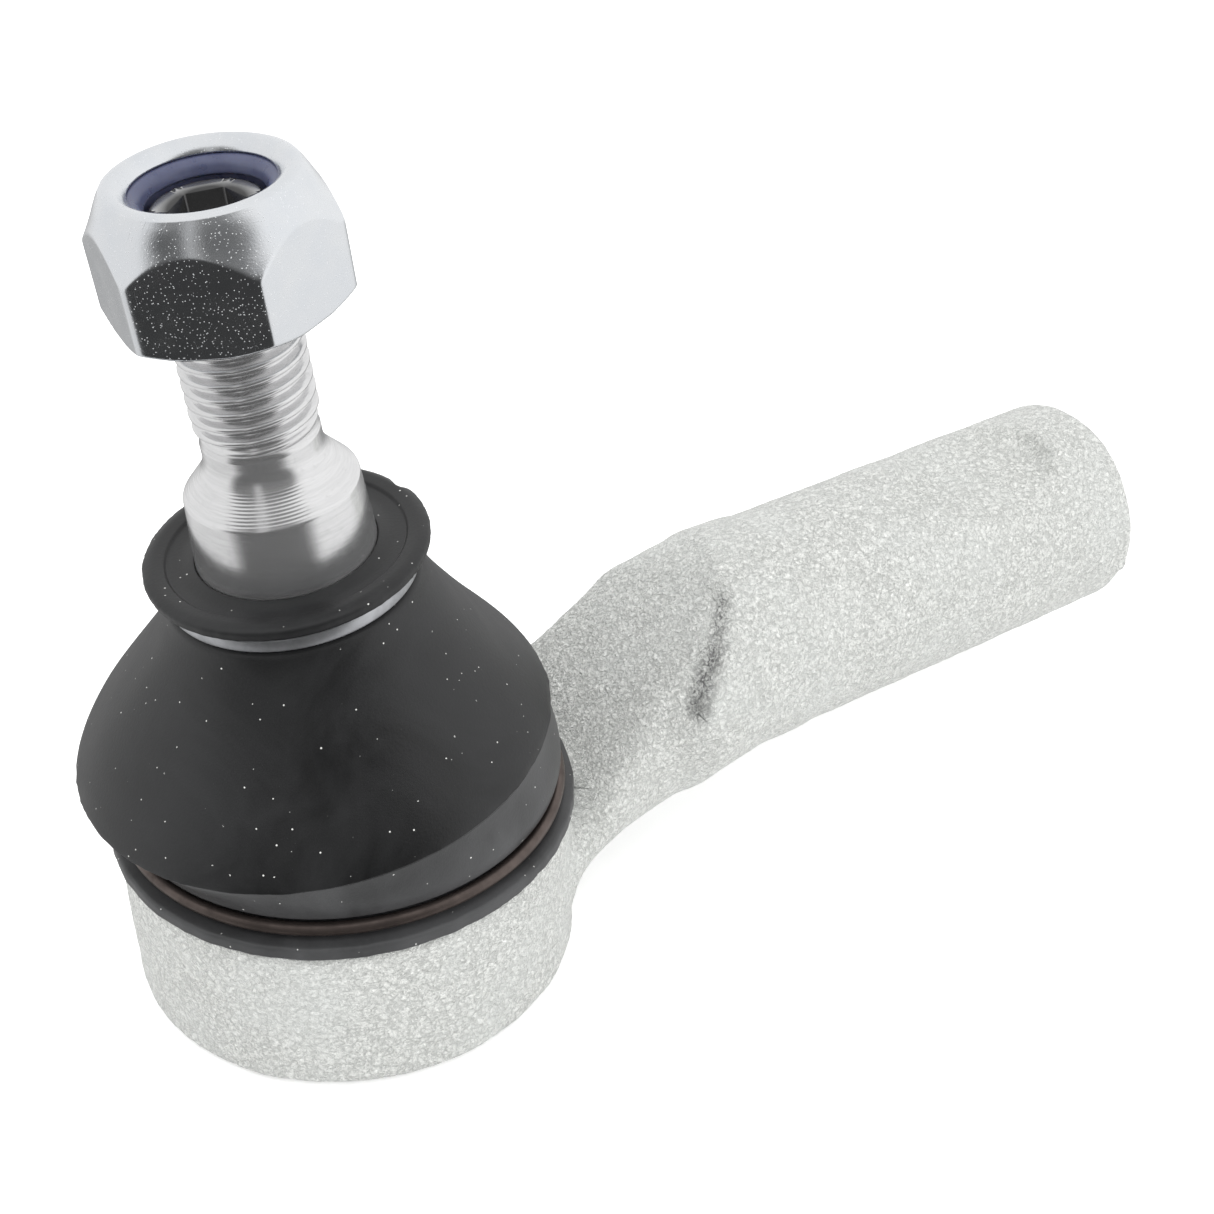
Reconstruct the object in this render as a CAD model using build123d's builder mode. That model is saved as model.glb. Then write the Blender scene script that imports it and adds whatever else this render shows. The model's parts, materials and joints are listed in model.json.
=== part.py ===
from build123d import *
from math import cos, radians, sin, sqrt
import os

# Tie rod end: a ball stud in a forged housing with a tubular shank.
# Millimetres. +Z is the housing's axis, +X runs along the shank, and the origin is
# the middle of the housing's underside.

# Forged housing
housing_r = 20.0
housing_h = 15.2
spigot_r = 17.4
spigot_top = 21.5
under_round = 1.2
ball_z = 15.7

# Ball socket inside the housing
bore_r = 13.6
mouth_r = 10.4
mouth_flare_r = 11.8
cone_low, cone_high = 17.2, 20.6
mouth_top = 21.0
plate_r = 15.1
plate_boss_r = 13.4
plate_rim_low, plate_top = 1.2, 2.4
fit_gap = 0.1

# Shank
shank_r = 11.1
shank_end = 88.2
shank_start = 46.0
shank_roll = 12.0
thread_bore_r = 6.19
thread_bore_depth = 42.0
mouth_chamfer = 1.2
flat_across = 18.6
flat_start, flat_end = 64.0, 81.6
flat_width = 12.4

# Neck between the housing and the shank: x, half width, low z, high z, corner radius
neck_sections = [
    (9.0, 15.5, 0.7, 14.6, 3.0),
    (21.5, 12.4, 1.6, 15.1, 4.5),
    (26.5, 10.4, 3.0, 17.6, 5.0),
    (32.0, 9.5, 4.3, 21.6, 6.5),
    (38.5, 10.4, 4.6, 25.8, 9.0),
    (47.0, 11.0, 4.8, 26.6, 10.8),
]

# Ball stud; heights are along the stud from the ball's centre
stud_lean = 5.5
ball_r = 11.0
ball_flat_r = 5.0
ball_neck_r = 5.6
taper_low, taper_low_r = 20.8, 7.85
taper_ratio = 8.0
flare_length = 3.0
shoulder_h = 33.7
stud_neck_r = 4.75
chamfer_top = 36.3
thread_start = 39.0
thread_r = 5.0
thread_root_r = 4.25
pitch = 1.25
thread_turns = 15
hex_socket_af = 5.0
hex_socket_depth = 5.0

# Locknut
nut_bottom = 49.7
nut_height = 10.4
nut_af = 17.0
nut_hex_height = 6.4
nut_bore_r = 5.06
nut_chamfer = 0.9
crown_r = 8.2
crown_top_r = 7.25
crown_lip_r = 5.6
crown_lip_height = 0.8
insert_r = 6.6
insert_height = 2.8
hex_turn = 25.0

# Dust boot and its rings
boot_wall = 1.6
boot_flange_r = 20.5
boot_flange_top = 16.5
boot_groove_r, boot_groove_top = 18.5, 18.1
boot_lip_r = 17.45
wire_r = 0.6
wire_z = 17.3
wire_arc = 345.0
collar_pocket_r = 9.1
collar_low, collar_top = 22.5, 27.9
collar_disc_r, collar_groove_r = 11.7, 9.95
collar_ring_r, collar_ring_low, collar_ring_top = 10.5, 24.7, 25.9
bush_r = 9.0
bush_low, bush_top = 22.8, 26.4
bush_gap = 0.07
# The boot starts to lean with the stud at the first height and leans fully at the second
lean_start, lean_full = 3.3, 9.5
# Boot body: height above the ball's centre, and radius
boot_sections = [
    (3.3, 18.9),
    (6.8, 20.7),
    (10.0, 20.3),
    (13.5, 17.9),
    (17.0, 15.2),
    (20.0, 13.0),
    (22.5, 11.2),
]

# Bearing seats
seat_r = 13.55
seat_sphere_r = 11.05
seat_bottom = 3.8
seat_hole_r = 5.0
seat_split = 15.6
seat_top = 20.2

ball_centre = Vector(0, 0, ball_z)
lean = radians(stud_lean)
stud_dir = Vector(-sin(lean), 0, cos(lean))
stud_axis = Axis(ball_centre, stud_dir)
# Sketch plane through the stud's axis: x is the radius, y the height along the stud
stud_plane = Plane(origin=ball_centre, x_dir=(cos(lean), 0, sin(lean)), z_dir=(0, -1, 0))


def taper_radius(height):
    """Radius of the stud's taper at a height above the ball's centre."""
    return taper_low_r - (height - taper_low) / (2 * taper_ratio)


def across_stud(height):
    """Plane square to the stud at a height above the ball's centre."""
    return Plane(origin=ball_centre + stud_dir * height, x_dir=(cos(lean), 0, sin(lean)), z_dir=stud_dir)


def boot_plane(height):
    """Plane of one boot section, which leans over with the stud towards the collar."""
    share = min(max((height - lean_start) / (lean_full - lean_start), 0), 1)
    angle = lean * share * share * (3 - 2 * share)
    direction = Vector(-sin(angle), 0, cos(angle))
    return Plane(origin=ball_centre + direction * height, x_dir=(cos(angle), 0, sin(angle)), z_dir=direction)


def write(piece, name):
    """Label a finished piece and write its STEP file."""
    piece.part.label = name
    export_step(piece.part, f"parts/{name}.step")


os.makedirs("parts", exist_ok=True)

# Forged housing: socket body, neck and shank in one forging, then bored and drilled
with BuildPart() as forged_housing:
    with BuildSketch(Plane.XZ):
        with BuildLine():
            Polyline(
                (0, 0),
                (housing_r - under_round, 0),
                (housing_r, under_round),
                (housing_r, housing_h),
                (spigot_r, housing_h),
                (spigot_r, spigot_top),
                (0, spigot_top),
                close=True,
            )
        make_face()
    revolve(axis=Axis.Z)
    for x, half_width, low, high, corner in neck_sections:
        with BuildSketch(Plane.YZ.offset(x)):
            with Locations((0, (low + high) / 2)):
                RectangleRounded(2 * half_width, high - low, corner)
    loft()
    with BuildSketch(Plane.YZ.offset(shank_start)):
        with Locations((0, ball_z)):
            Circle(shank_r)
    extrude(amount=shank_end - shank_start)
    fillet(forged_housing.edges().filter_by(GeomType.CIRCLE).sort_by(Axis.X)[-1], mouth_chamfer)
    # Wrench flats on both sides of the shank
    roll = radians(shank_roll)
    for side in (1, -1):
        flat_dir = Vector(0, -sin(roll), cos(roll)) * side
        flat_origin = Vector((flat_start + flat_end) / 2, 0, ball_z) + flat_dir * flat_across / 2
        with BuildSketch(Plane(origin=flat_origin, x_dir=(1, 0, 0), z_dir=flat_dir)):
            SlotOverall(flat_end - flat_start, flat_width)
        extrude(amount=shank_r, mode=Mode.SUBTRACT)
    # Cavity for the bearing, its mouth and the closing plate's recess
    with BuildSketch(Plane.XZ):
        with BuildLine():
            Polyline(
                (0, 0),
                (plate_boss_r + fit_gap, 0),
                (plate_boss_r + fit_gap, plate_rim_low - fit_gap),
                (plate_r + fit_gap, plate_rim_low - fit_gap),
                (plate_r + fit_gap, plate_top + fit_gap),
                (bore_r, plate_top + fit_gap),
                (bore_r, cone_low),
                (mouth_r, cone_high),
                (mouth_r, mouth_top),
                (mouth_flare_r, spigot_top),
                (0, spigot_top),
                close=True,
            )
        make_face()
    revolve(axis=Axis.Z, mode=Mode.SUBTRACT)
    # Female thread for the tie rod, at its minor diameter
    with BuildSketch(Plane.XZ):
        with BuildLine():
            Polyline(
                (shank_end, ball_z),
                (shank_end, ball_z + thread_bore_r + mouth_chamfer),
                (shank_end - mouth_chamfer, ball_z + thread_bore_r),
                (shank_end - thread_bore_depth, ball_z + thread_bore_r),
                (shank_end - thread_bore_depth - thread_bore_r / sqrt(3), ball_z),
                close=True,
            )
        make_face()
    revolve(axis=Axis((0, 0, ball_z), (1, 0, 0)), mode=Mode.SUBTRACT)
write(forged_housing, "forged_housing")

# Pressed plate that closes the housing from below
with BuildPart() as closing_plate:
    with BuildSketch(Plane.XZ):
        with BuildLine():
            Polyline(
                (0, 0),
                (plate_boss_r, 0),
                (plate_boss_r, plate_rim_low),
                (plate_r, plate_rim_low),
                (plate_r, plate_top),
                (0, plate_top),
                close=True,
            )
        make_face()
    revolve(axis=Axis.Z)
write(closing_plate, "closing_plate")

# Disc spring that presses the lower seat against the ball
spring_thickness, spring_inner_r, spring_outer_r, spring_rise = 0.6, 6.0, 12.9, 0.5
with BuildPart() as preload_spring:
    with BuildSketch(Plane.XZ):
        with BuildLine():
            spring_low = plate_top + fit_gap / 2
            Polyline(
                (spring_outer_r, spring_low),
                (spring_outer_r, spring_low + spring_thickness),
                (spring_inner_r, spring_low + spring_thickness + spring_rise),
                (spring_inner_r, spring_low + spring_rise),
                close=True,
            )
        make_face()
    revolve(axis=Axis.Z)
write(preload_spring, "preload_spring")

# Lower bearing seat: a cup with a grease hole
with BuildPart() as lower_bearing_seat:
    with BuildSketch(Plane.XY.offset(seat_bottom)):
        Circle(seat_r)
        Circle(seat_hole_r, mode=Mode.SUBTRACT)
    extrude(amount=seat_split - fit_gap - seat_bottom)
    with Locations(ball_centre):
        Sphere(seat_sphere_r, mode=Mode.SUBTRACT)
write(lower_bearing_seat, "lower_bearing_seat")

# Upper bearing seat: a ring that bears on the housing's inner cone
with BuildPart() as upper_bearing_seat:
    cone_slope = (bore_r - mouth_r) / (cone_high - cone_low)
    cone_step = fit_gap / 2
    with BuildSketch(Plane.XZ):
        with BuildLine():
            Polyline(
                (0, seat_split),
                (seat_r, seat_split),
                (seat_r, cone_low - cone_step),
                (bore_r - (seat_top - cone_low) * cone_slope - 2 * cone_step, seat_top),
                (0, seat_top),
                close=True,
            )
        make_face()
    revolve(axis=Axis.Z)
    with Locations(ball_centre):
        Sphere(seat_sphere_r, mode=Mode.SUBTRACT)
write(upper_bearing_seat, "upper_bearing_seat")

# Ball stud: ball, neck, taper, shoulder and thread, with a hexagon socket in its end
thread_end = thread_start + thread_turns * pitch
ball_flat_h = sqrt(ball_r**2 - ball_flat_r**2)
ball_neck_h = sqrt(ball_r**2 - ball_neck_r**2)
thread_points = []
for turn in range(thread_turns):
    root = thread_start + turn * pitch
    thread_points += [
        (thread_root_r, root),
        (thread_root_r, root + pitch / 4),
        (thread_r, root + pitch * 5 / 8 - pitch / 16),
        (thread_r, root + pitch * 5 / 8 + pitch / 16),
    ]
with BuildPart() as ball_stud:
    with BuildSketch(stud_plane):
        with BuildLine():
            ThreePointArc((ball_flat_r, -ball_flat_h), (ball_r, 0), (ball_neck_r, ball_neck_h))
            Polyline(
                (ball_neck_r, ball_neck_h),
                (ball_neck_r, taper_low - flare_length),
                (taper_low_r, taper_low),
                (taper_radius(shoulder_h), shoulder_h),
                (stud_neck_r, chamfer_top),
                (stud_neck_r, thread_start - pitch / 2),
                *thread_points,
                (thread_root_r, thread_end),
                (0, thread_end),
                (0, -ball_flat_h),
                (ball_flat_r, -ball_flat_h),
            )
        make_face()
    revolve(axis=stud_axis)
    with BuildSketch(across_stud(thread_end)):
        RegularPolygon(hex_socket_af / 2, 6, major_radius=False)
    extrude(amount=-hex_socket_depth, mode=Mode.SUBTRACT)
write(ball_stud, "ball_stud")

# Dust boot: a hollow onion whose lip grips the housing's spigot and whose collar
# holds the bush on the stud
with BuildPart() as dust_boot:
    for height, radius in boot_sections:
        with BuildSketch(boot_plane(height)):
            Circle(radius)
    loft()
    for height, radius in boot_sections:
        inner = radius - boot_wall
        if height == boot_sections[0][0]:
            inner = boot_lip_r
        if height == boot_sections[-1][0]:
            inner = collar_pocket_r
        with BuildSketch(boot_plane(height)):
            Circle(inner)
    loft(mode=Mode.SUBTRACT)
    lip_top = ball_z + boot_sections[0][0]
    with BuildSketch(Plane.XZ):
        with BuildLine():
            Polyline(
                (boot_lip_r, housing_h + fit_gap),
                (boot_flange_r, housing_h + fit_gap),
                (boot_flange_r, boot_flange_top),
                (boot_groove_r, boot_flange_top),
                (boot_groove_r, boot_groove_top),
                (boot_sections[0][1], boot_groove_top),
                (boot_sections[0][1], lip_top),
                (boot_lip_r, lip_top),
                close=True,
            )
        make_face()
    revolve(axis=Axis.Z)
    stud_lip = taper_radius(bush_top) + 2 * fit_gap
    with BuildSketch(stud_plane):
        with BuildLine():
            Polyline(
                (collar_pocket_r, collar_low),
                (boot_sections[-1][1], collar_low),
                (collar_groove_r, collar_low + 2),
                (collar_groove_r, collar_top - 1.6),
                (collar_disc_r, collar_top - 1.1),
                (collar_disc_r, collar_top),
                (stud_lip, collar_top - 0.4),
                (stud_lip, bush_top + fit_gap),
                (collar_pocket_r, bush_top + fit_gap),
                close=True,
            )
        make_face()
    revolve(axis=stud_axis)
write(dust_boot, "dust_boot")

# Open wire ring that clamps the boot's lip on the spigot
with BuildPart() as lower_clamp_ring:
    with BuildSketch(Plane.XZ):
        with Locations((boot_groove_r + wire_r + fit_gap / 2, wire_z)):
            Circle(wire_r)
    revolve(axis=Axis.Z, revolution_arc=wire_arc)
write(lower_clamp_ring, "lower_clamp_ring")

# Flat steel ring in the groove under the collar's disc
with BuildPart() as upper_clamp_ring:
    with BuildSketch(across_stud(collar_ring_low)):
        Circle(collar_ring_r)
        Circle(collar_groove_r + fit_gap / 2, mode=Mode.SUBTRACT)
    extrude(amount=collar_ring_top - collar_ring_low)
write(upper_clamp_ring, "upper_clamp_ring")

# Bush inside the boot's collar, in which the stud's taper turns
with BuildPart() as collar_bush:
    with BuildSketch(stud_plane):
        with BuildLine():
            Polyline(
                (taper_radius(bush_low) + bush_gap, bush_low),
                (bush_r, bush_low),
                (bush_r, bush_top),
                (taper_radius(bush_top) + bush_gap, bush_top),
                close=True,
            )
        make_face()
    revolve(axis=stud_axis)
write(collar_bush, "collar_bush")

# Locknut: a hexagon with a crown that is rolled over its nylon ring
nut_top = nut_bottom + nut_height
corner_r = nut_af / sqrt(3)
crown_low = nut_bottom + nut_hex_height
lip_bottom = nut_top - crown_lip_height
insert_low = lip_bottom - insert_height
with BuildPart() as locknut:
    with BuildSketch(across_stud(nut_bottom)):
        RegularPolygon(nut_af / 2, 6, major_radius=False, rotation=hex_turn)
    extrude(amount=nut_hex_height)
    with BuildSketch(stud_plane):
        with BuildLine():
            Polyline(
                (0, nut_bottom),
                (corner_r - nut_chamfer, nut_bottom),
                (corner_r, nut_bottom + nut_chamfer / 2),
                (corner_r, crown_low - nut_chamfer),
                (corner_r - 2 * nut_chamfer, crown_low),
                (0, crown_low),
                close=True,
            )
        make_face()
    revolve(axis=stud_axis, mode=Mode.INTERSECT)
    with BuildSketch(stud_plane):
        with BuildLine():
            Polyline(
                (0, crown_low - nut_chamfer),
                (crown_r, crown_low - nut_chamfer),
                (crown_r, lip_bottom - 1),
                (crown_top_r, nut_top),
                (0, nut_top),
                close=True,
            )
        make_face()
    revolve(axis=stud_axis)
    with BuildSketch(stud_plane):
        with BuildLine():
            Polyline(
                (0, nut_bottom),
                (nut_bore_r, nut_bottom),
                (nut_bore_r, insert_low - fit_gap / 2),
                (insert_r + fit_gap / 2, insert_low - fit_gap / 2),
                (insert_r + fit_gap / 2, lip_bottom),
                (crown_lip_r, lip_bottom + fit_gap),
                (crown_lip_r, nut_top),
                (0, nut_top),
                close=True,
            )
        make_face()
    revolve(axis=stud_axis, mode=Mode.SUBTRACT)
write(locknut, "locknut")

# Nylon ring held in the locknut's crown
with BuildPart() as nylon_insert:
    with BuildSketch(across_stud(insert_low)):
        Circle(insert_r)
        Circle(nut_bore_r, mode=Mode.SUBTRACT)
    extrude(amount=insert_height - fit_gap / 2)
write(nylon_insert, "nylon_insert")
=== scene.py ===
import json
from math import cos, pi, radians, sin, sqrt, tau

import bpy
import numpy as np
from mathutils import Matrix, Vector, noise


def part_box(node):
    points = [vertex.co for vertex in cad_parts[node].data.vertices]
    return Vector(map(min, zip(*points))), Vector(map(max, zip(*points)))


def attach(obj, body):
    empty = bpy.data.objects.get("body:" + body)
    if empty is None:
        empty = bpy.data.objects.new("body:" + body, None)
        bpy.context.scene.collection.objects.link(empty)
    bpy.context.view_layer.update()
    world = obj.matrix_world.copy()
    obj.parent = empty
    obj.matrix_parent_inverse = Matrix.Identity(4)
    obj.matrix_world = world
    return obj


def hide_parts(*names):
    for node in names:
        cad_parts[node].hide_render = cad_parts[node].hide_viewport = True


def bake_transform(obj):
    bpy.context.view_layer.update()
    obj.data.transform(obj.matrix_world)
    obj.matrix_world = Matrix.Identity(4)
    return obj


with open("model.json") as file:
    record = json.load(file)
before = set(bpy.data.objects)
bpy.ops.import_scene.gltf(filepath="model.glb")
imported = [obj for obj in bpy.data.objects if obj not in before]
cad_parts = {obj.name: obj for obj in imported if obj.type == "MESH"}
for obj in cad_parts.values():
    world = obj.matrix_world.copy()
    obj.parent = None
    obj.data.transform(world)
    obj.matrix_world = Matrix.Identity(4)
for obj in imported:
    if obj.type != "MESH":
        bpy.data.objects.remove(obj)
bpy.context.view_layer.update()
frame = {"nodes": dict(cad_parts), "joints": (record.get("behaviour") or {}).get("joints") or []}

# A tie rod end. Sizes are in millimetres and become metres where a mesh is made.
# +Z is the housing's axis and +X runs along the shank.
MM = 0.001

joints = {joint["name"]: joint for joint in frame["joints"]}


# ---------- places taken from the frame ----------

ball_centre = np.array(joints["stud_spin"]["pos_m"]) / MM
stud_dir = np.array(joints["stud_spin"]["axis"])
ball_z = ball_centre[2]
lean = np.arctan2(-stud_dir[0], stud_dir[2])
housing_low, housing_high = (np.array(corner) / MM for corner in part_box("forged_housing"))
plate_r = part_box("closing_plate")[1][0] / MM
housing_r = -housing_low[0]
shank_end = housing_high[0]

# Driving sizes that the frame doesn't state
housing_h = 15.2
spigot_r, spigot_top = 17.4, 21.5
socket_bore_r = 13.6
shank_r = 11.1
shank_roll = radians(12)
thread_bore_r = 6.19
thread_bore_depth = 42.0
mouth_chamfer = 1.2
stud_end = 57.7
# Middle of the stud's hexagon socket, from its floor to its mouth, along which the stud's painted shade
# lies
socket_line = [ball_centre + stud_dir * height for height in (stud_end - 6.5, stud_end + 0.3)]
# Fold where the near edge of the neck's web runs into the shank; the forging's painted shade lies along it
# too
fold_line = np.array([[37.4, -5.6, 25.3], [34.7, -8.4, 22.9], [31.2, -10.4, 19.4]])
# Distance from the fold counts little along this outward direction
fold_outward = np.array([-0.35, -0.45, 0.82])
fold_flatten = 0.8


# ---------- mesh helpers ----------

def piece(name, points, faces, material, body=None, node=None, slot=None):
    """Make an object from points in millimetres and fasten it to the frame."""
    mesh = bpy.data.meshes.new(name)
    mesh.from_pydata((np.asarray(points) * MM).tolist(), [], faces)
    mesh.materials.append(material)
    mesh.polygons.foreach_set("use_smooth", [True] * len(mesh.polygons))
    mesh.update()
    made = bpy.data.objects.new(name, mesh)
    bpy.context.collection.objects.link(made)
    if body:
        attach(made, body)
    if node:
        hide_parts(node)
    return made


def skin(grid, loop_rows=False):
    """Points and faces of a grid (rows, columns, 3) whose columns close on themselves."""
    rows, columns = grid.shape[:2]
    faces = []
    for row in range(rows if loop_rows else rows - 1):
        above = (row + 1) % rows
        for column in range(columns):
            beside = (column + 1) % columns
            faces.append((row * columns + column, row * columns + beside,
                          above * columns + beside, above * columns + column))
    return grid.reshape(-1, 3), faces


def capped(grid):
    """Points and faces of a grid whose first and last rows end in a middle point."""
    points, faces = skin(grid)
    rows, columns = grid.shape[:2]
    points = np.vstack([points, grid[0].mean(axis=0), grid[-1].mean(axis=0)])
    first, last = rows * columns, rows * columns + 1
    top = (rows - 1) * columns
    for column in range(columns):
        beside = (column + 1) % columns
        faces.append((first, beside, column))
        faces.append((top + column, top + beside, last))
    return points, faces


def soft_outline(corners, step, closed=False):
    """Dense outline through (radius, height, softness) corners, each rounded by its softness."""
    count = len(corners)
    bends = []
    for index, (radius, height, soft) in enumerate(corners):
        here = np.array([radius, height], float)
        if not closed and index in (0, count - 1) or soft == 0:
            bends.append([here])
            continue
        before = np.array(corners[index - 1][:2], float) - here
        after = np.array(corners[(index + 1) % count][:2], float) - here
        start = here + before * min(0.49, soft / np.linalg.norm(before))
        end = here + after * min(0.49, soft / np.linalg.norm(after))
        shares = np.linspace(0, 1, 7)[:, None]
        bend = (1 - shares) ** 2 * start + 2 * shares * (1 - shares) * here + shares**2 * end
        bends.append(list(bend))
    path = [point for bend in bends for point in bend]
    if closed:
        path.append(path[0])
    dense = []
    for here, there in zip(path, path[1:]):
        pieces_here = max(1, int(np.ceil(np.linalg.norm(there - here) / step)))
        for share in range(pieces_here):
            dense.append(here + (there - here) * share / pieces_here)
    if not closed:
        dense.append(path[-1])
    return np.array(dense)


def around(columns):
    """Evenly spaced angles for the columns of a grid."""
    return np.arange(columns) * tau / columns


def ring_noise(angles, scale, seed):
    """Smooth noise that closes around a ring, for each angle."""
    return np.array([noise.noise(Vector((cos(a) * scale, sin(a) * scale, seed))) for a in angles])


def lean_axes(angle):
    """Unit vectors across, sideways and along an axis that leans away from the shank."""
    angle = np.asarray(angle)
    zero = np.zeros_like(angle)
    across = np.stack([np.cos(angle), zero, np.sin(angle)], -1)
    along = np.stack([-np.sin(angle), zero, np.cos(angle)], -1)
    return across, np.array([0.0, 1.0, 0.0]), along


def on_stud(radius, height, angles):
    """Points around the stud's axis; radius and height broadcast against the angles."""
    across, sideways, along = lean_axes(lean)
    radius, height = np.broadcast_arrays(radius, height)
    flat = radius[..., None]
    return (ball_centre + flat * np.cos(angles)[..., None] * across
            + flat * np.sin(angles)[..., None] * sideways + height[..., None] * along)


def lathe(outline, columns):
    """Grid of points of an outline turned around the stud's axis."""
    angles = around(columns)[None, :]
    return on_stud(outline[:, :1] + 0 * angles, outline[:, 1:] + 0 * angles, angles + 0 * outline[:, :1])


def smooth_step(low, high, value):
    """0 below low, 1 above high, and an easy curve between."""
    share = np.clip((value - low) / (high - low), 0, 1)
    return share * share * (3 - 2 * share)


def thread_wave(phase, crest=0.16, root=0.22):
    """Depth of a rounded thread form, from 0 at the crest to 1 in the root."""
    share = np.abs((phase % 1.0) - 0.5) * 2
    return smooth_step(crest, 1 - root, share)


# ---------- material helpers ----------

def shader(name, base, metallic=0.0, roughness=0.5, **sockets):
    """New material with its constant values set on the Principled shader."""
    made = bpy.data.materials.new(name)
    made.use_nodes = True
    principled = made.node_tree.nodes["Principled BSDF"]
    principled.inputs["Base Color"].default_value = (*base, 1)
    principled.inputs["Metallic"].default_value = metallic
    principled.inputs["Roughness"].default_value = roughness
    for socket, value in sockets.items():
        principled.inputs[socket.replace("_", " ")].default_value = value
    return made, principled


def coordinates(material, turn=0.0, stretch=(1, 1, 1)):
    """Object coordinates in millimetres, turned about Y and stretched."""
    nodes, links = material.node_tree.nodes, material.node_tree.links
    source = nodes.new("ShaderNodeTexCoord")
    mapping = nodes.new("ShaderNodeMapping")
    mapping.inputs["Rotation"].default_value = (0, turn, 0)
    mapping.inputs["Scale"].default_value = [side / MM for side in stretch]
    links.new(source.outputs["Object"], mapping.inputs["Vector"])
    return mapping.outputs["Vector"]


def noise_texture(material, where, scale, detail=4.0, rough=0.55, distortion=0.0):
    """Noise value whose features are about 1/scale millimetres across."""
    texture = material.node_tree.nodes.new("ShaderNodeTexNoise")
    texture.inputs["Scale"].default_value = scale
    texture.inputs["Detail"].default_value = detail
    texture.inputs["Roughness"].default_value = rough
    texture.inputs["Distortion"].default_value = distortion
    material.node_tree.links.new(where, texture.inputs["Vector"])
    return texture.outputs["Fac"]


def cells(material, where, scale):
    """Distance from scattered cell middles, in cells."""
    texture = material.node_tree.nodes.new("ShaderNodeTexVoronoi")
    texture.inputs["Scale"].default_value = scale
    material.node_tree.links.new(where, texture.inputs["Vector"])
    return texture.outputs["Distance"]


def ramp(material, value, low, high, first, last):
    """Map a value's range to another range, without overshoot."""
    node = material.node_tree.nodes.new("ShaderNodeMapRange")
    for socket, number in zip(("From Min", "From Max", "To Min", "To Max"), (low, high, first, last)):
        node.inputs[socket].default_value = number
    material.node_tree.links.new(value, node.inputs["Value"])
    return node.outputs["Result"]


def mixed(material, share, first, last):
    """Mix two colours, or a colour and a socket, by a share."""
    node = material.node_tree.nodes.new("ShaderNodeMix")
    node.data_type = "RGBA"
    links = material.node_tree.links
    links.new(share, node.inputs["Factor"])
    for socket, colour in ((node.inputs["A"], first), (node.inputs["B"], last)):
        if isinstance(colour, tuple):
            socket.default_value = (*colour, 1)
        else:
            links.new(colour, socket)
    return next(output for output in node.outputs if output.type == "RGBA")


def sum_of(material, first, last, operation="ADD"):
    """Two values joined by one math operation; the second may be a number."""
    node = material.node_tree.nodes.new("ShaderNodeMath")
    node.operation = operation
    links = material.node_tree.links
    for socket, value in zip(node.inputs, (first, last)):
        if isinstance(value, (int, float)):
            socket.default_value = value
        else:
            links.new(value, socket)
    return node.outputs["Value"]


def bumps(material, principled, height, depth_mm, strength=1.0):
    """Relief of a given depth from a height value."""
    node = material.node_tree.nodes.new("ShaderNodeBump")
    node.inputs["Strength"].default_value = strength
    node.inputs["Distance"].default_value = depth_mm * MM
    material.node_tree.links.new(height, node.inputs["Height"])
    material.node_tree.links.new(node.outputs["Normal"], principled.inputs["Normal"])


def feed(material, principled, socket, value):
    """Link a varying value to a shader socket."""
    material.node_tree.links.new(value, principled.inputs[socket])


# ---------- materials ----------

def near_line(material, where, start, end, reach, outward=None):
    """1 on a line between two points, falling to 0 at its reach; distance outward counts little."""
    nodes, links = material.node_tree.nodes, material.node_tree.links
    run = np.subtract(end, start)
    length = float(np.linalg.norm(run))

    def vector_math(operation, first, second):
        node = nodes.new("ShaderNodeVectorMath")
        node.operation = operation
        for socket, value in zip(node.inputs, (first, second)):
            if isinstance(value, tuple):
                socket.default_value = value
            else:
                links.new(value, socket)
        return node

    offset = vector_math("SUBTRACT", where, tuple(start)).outputs["Vector"]
    if outward is not None:
        rise = vector_math("DOT_PRODUCT", offset, tuple(outward)).outputs["Value"]
        lift = nodes.new("ShaderNodeVectorMath")
        lift.operation = "SCALE"
        lift.inputs[0].default_value = tuple(outward * fold_flatten)
        links.new(rise, lift.inputs["Scale"])
        offset = vector_math("SUBTRACT", offset, lift.outputs["Vector"]).outputs["Vector"]
    along = vector_math("DOT_PRODUCT", offset, tuple(run / length**2)).outputs["Value"]
    held = ramp(material, along, 0.0, 1.0, 0.0, 1.0)
    foot = nodes.new("ShaderNodeVectorMath")
    foot.operation = "SCALE"
    foot.inputs[0].default_value = tuple(run)
    links.new(held, foot.inputs["Scale"])
    gap = vector_math("DISTANCE", offset, foot.outputs["Vector"]).outputs["Value"]
    return ramp(material, gap, 0.0, reach, 1.0, 0.0)


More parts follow.
